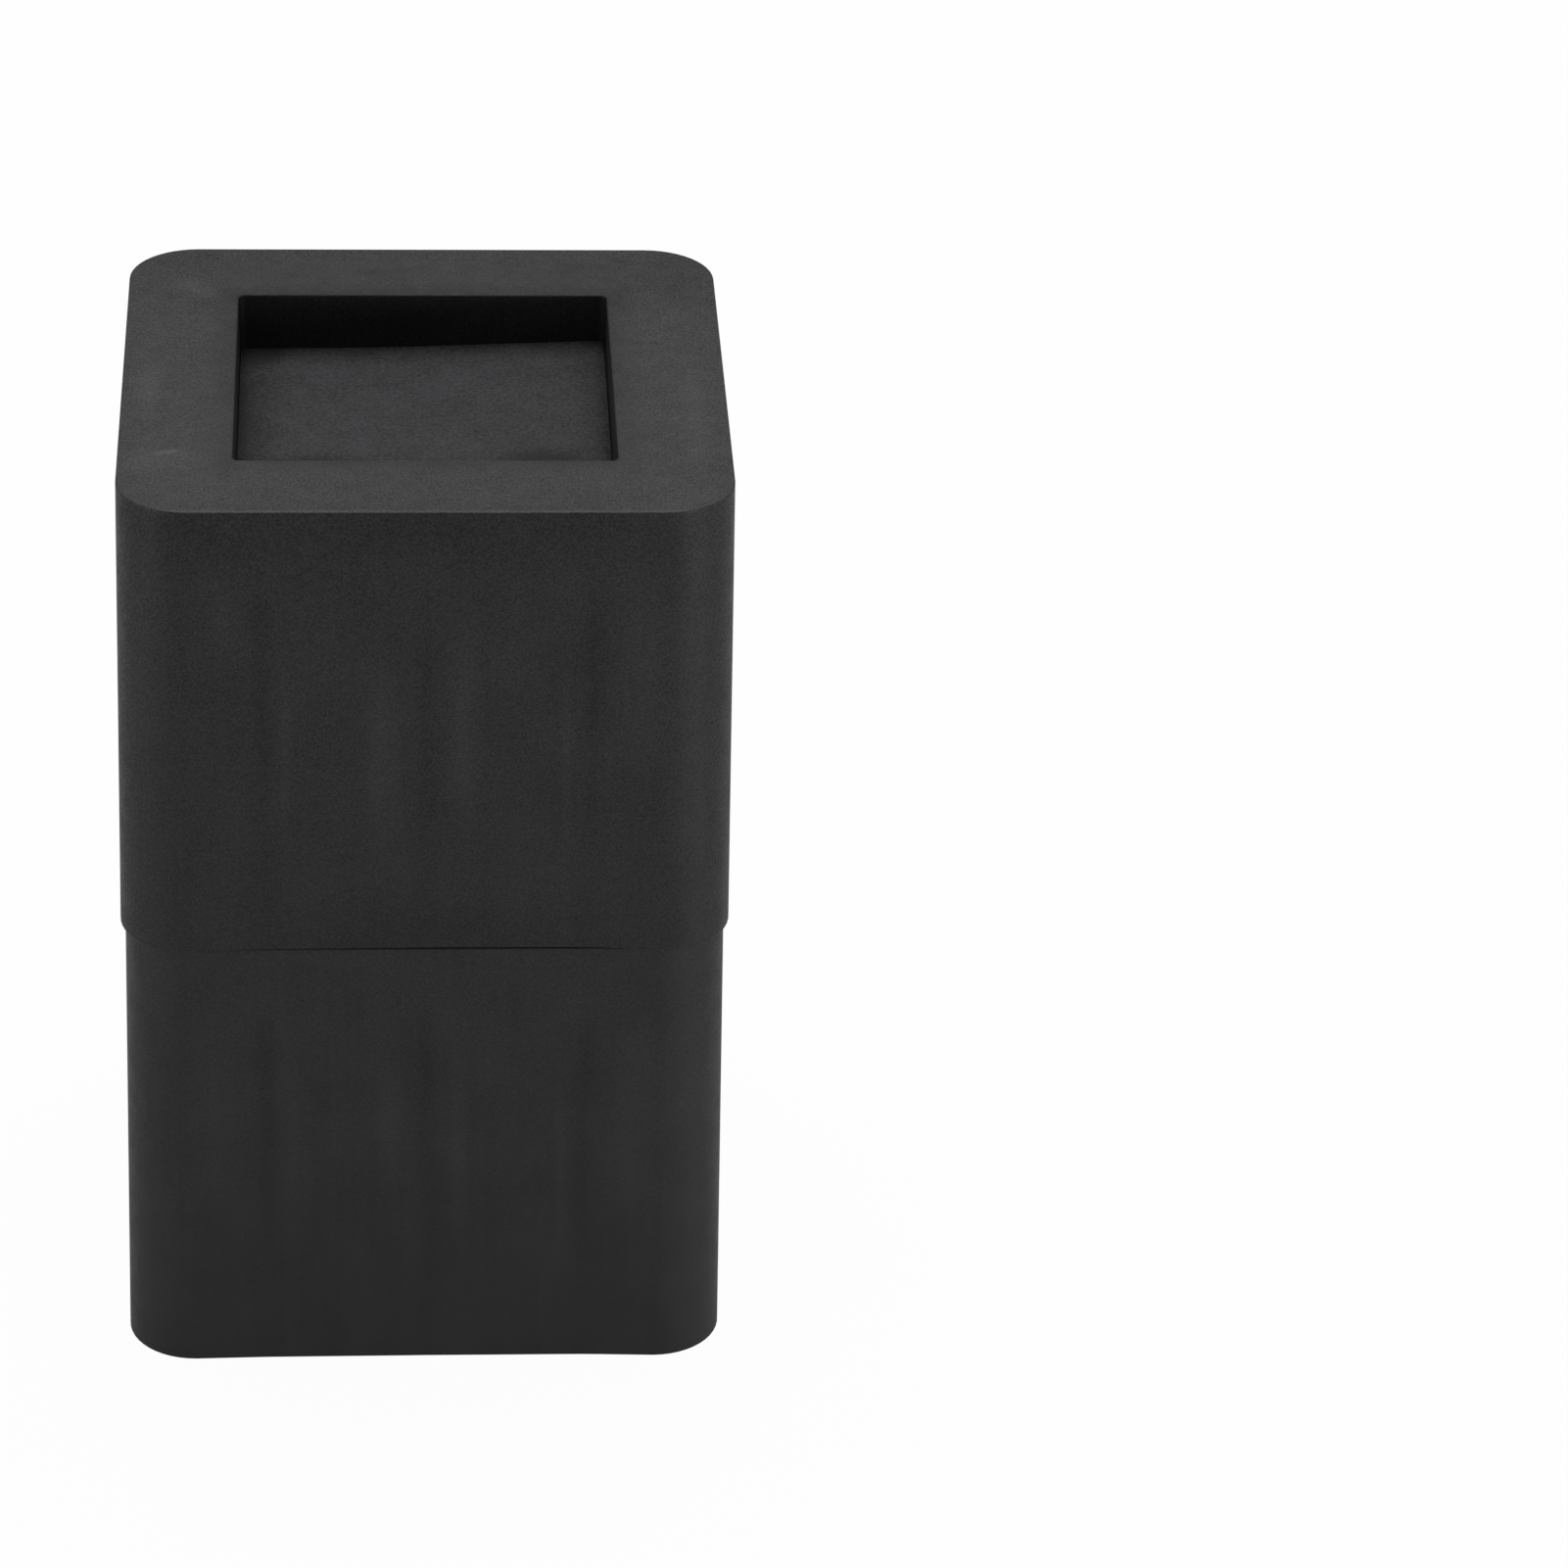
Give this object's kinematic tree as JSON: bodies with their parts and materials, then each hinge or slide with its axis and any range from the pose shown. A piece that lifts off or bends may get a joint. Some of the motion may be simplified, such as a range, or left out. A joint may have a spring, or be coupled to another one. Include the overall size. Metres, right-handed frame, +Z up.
{
  "type": "bed riser",
  "caption": "Stack of square plastic furniture risers with rounded corners, a ribbed open underside and a foam-padded recess on top for a bed leg.",
  "frame": {"origin": "on the floor, under the middle of the stack", "axes": "+Z up the stack, from the floor to the rim that the bed leg sinks into; +X and +Y square to the flat sides, with +X to the right in the picture"},
  "size_m": [0.127, 0.127, 0.2032],
  "materials": {
    "moulded_plastic": "black polypropylene with a fine moulded grain",
    "pad_foam": "dark grey closed-cell foam"
  },
  "bodies": {
    "root": {"lower_riser": "moulded_plastic", "lower_foam_pad": "pad_foam", "upper_riser": "moulded_plastic", "upper_foam_pad": "pad_foam"}
  },
  "joints": []
}
